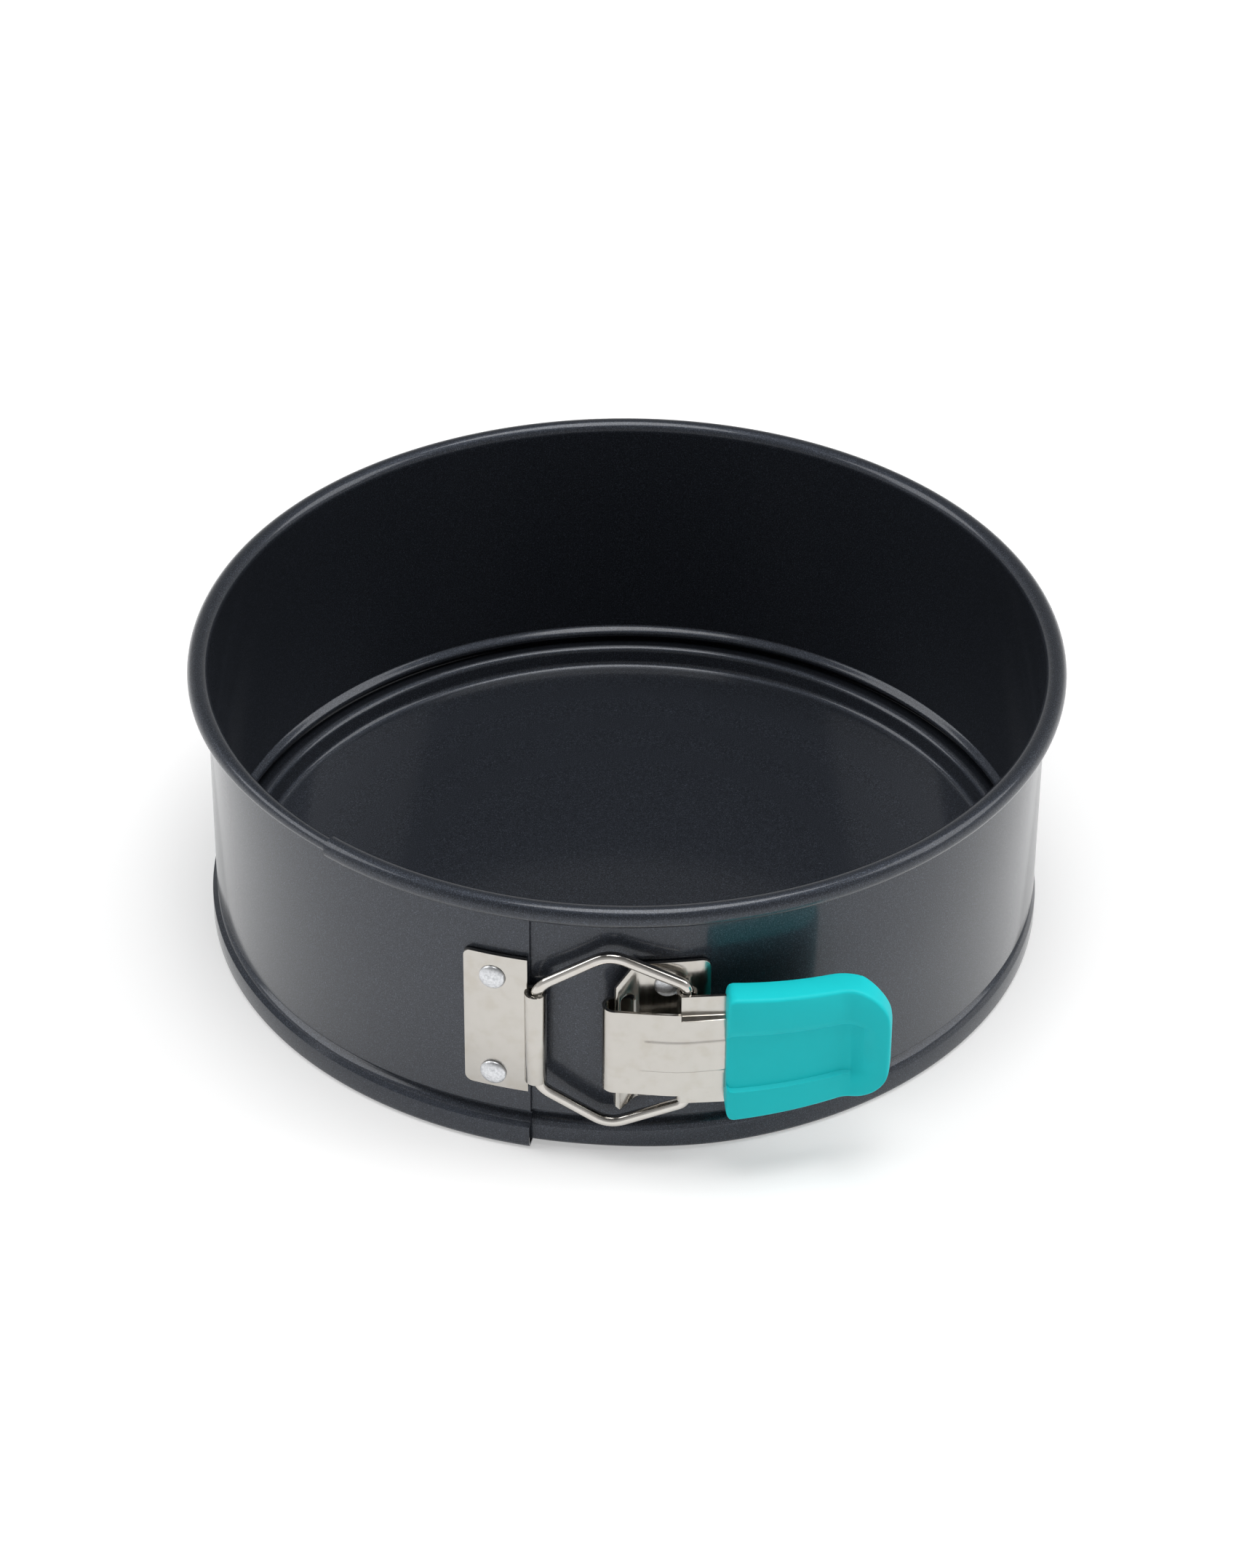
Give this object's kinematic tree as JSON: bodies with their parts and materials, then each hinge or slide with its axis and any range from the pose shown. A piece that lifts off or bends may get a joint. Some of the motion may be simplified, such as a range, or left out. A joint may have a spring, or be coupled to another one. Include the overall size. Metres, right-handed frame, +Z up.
{
  "type": "springform pan",
  "caption": "Round springform cake pan: a split side band with a rolled rim, a wire-bail lever latch with a soft grip, and a lift-out base plate.",
  "frame": {"origin": "centre of the base plate's underside, on the pan's axis, at the height the pan stands on", "axes": "+Z up along the pan's axis, -Y towards the latch, +X towards the lever's grip"},
  "size_m": [0.2139, 0.2199, 0.0736],
  "materials": {
    "band_coating": "satin charcoal non-stick coat with fine metallic flake, on steel sheet",
    "base_coating": "satin charcoal non-stick coat with fine metallic flake, on steel sheet",
    "nickel_plate": "nickel-plated steel sheet, satin with fine rolling marks",
    "nickel_wire": "nickel-plated steel wire, bright",
    "rivet_aluminium": "domed aluminium rivet, satin",
    "teal_silicone": "moulded teal silicone, matt"
  },
  "bodies": {
    "ring": {"side_band": "band_coating", "lever_bracket": "nickel_plate", "bracket_rivet_upper": "rivet_aluminium", "bracket_rivet_lower": "rivet_aluminium"},
    "keeper": {"keeper_plate": "nickel_plate", "keeper_rivet_upper": "rivet_aluminium", "keeper_rivet_lower": "rivet_aluminium"},
    "bail": {"wire_bail": "nickel_wire"},
    "lever": {"latch_lever": "nickel_plate", "lever_grip": "teal_silicone"},
    "base": {"base_plate": "base_coating"}
  },
  "joints": [
    {"name": "band_spring", "type": "hinge", "parent": "ring", "child": "keeper", "pos_m": [0, 0.1019, 0.0358], "axis": [0, 0, -1], "range_deg": [0, 1.61], "deforming": ["side_band"]},
    {"name": "bail_swing", "type": "hinge", "parent": "keeper", "child": "bail", "pos_m": [-0.0208, -0.10399, 0.0358], "axis": [0, 0, -1], "range_deg": [0, 28.9]},
    {"name": "lever_swing", "type": "hinge", "parent": "bail", "child": "lever", "pos_m": [0.014, -0.10658, 0.0358], "axis": [0, 0, -1], "range_deg": [0, 48]},
    {"name": "base_lift", "type": "slide", "parent": "ring", "child": "base", "axis": [0, 0, 1], "range_m": [0, 0.085]}
  ],
  "couplings": [
    {"joint": "bail_swing", "follows": "lever_swing", "ratio": 0.602},
    {"joint": "band_spring", "follows": "lever_swing", "ratio": 0.0335}
  ]
}
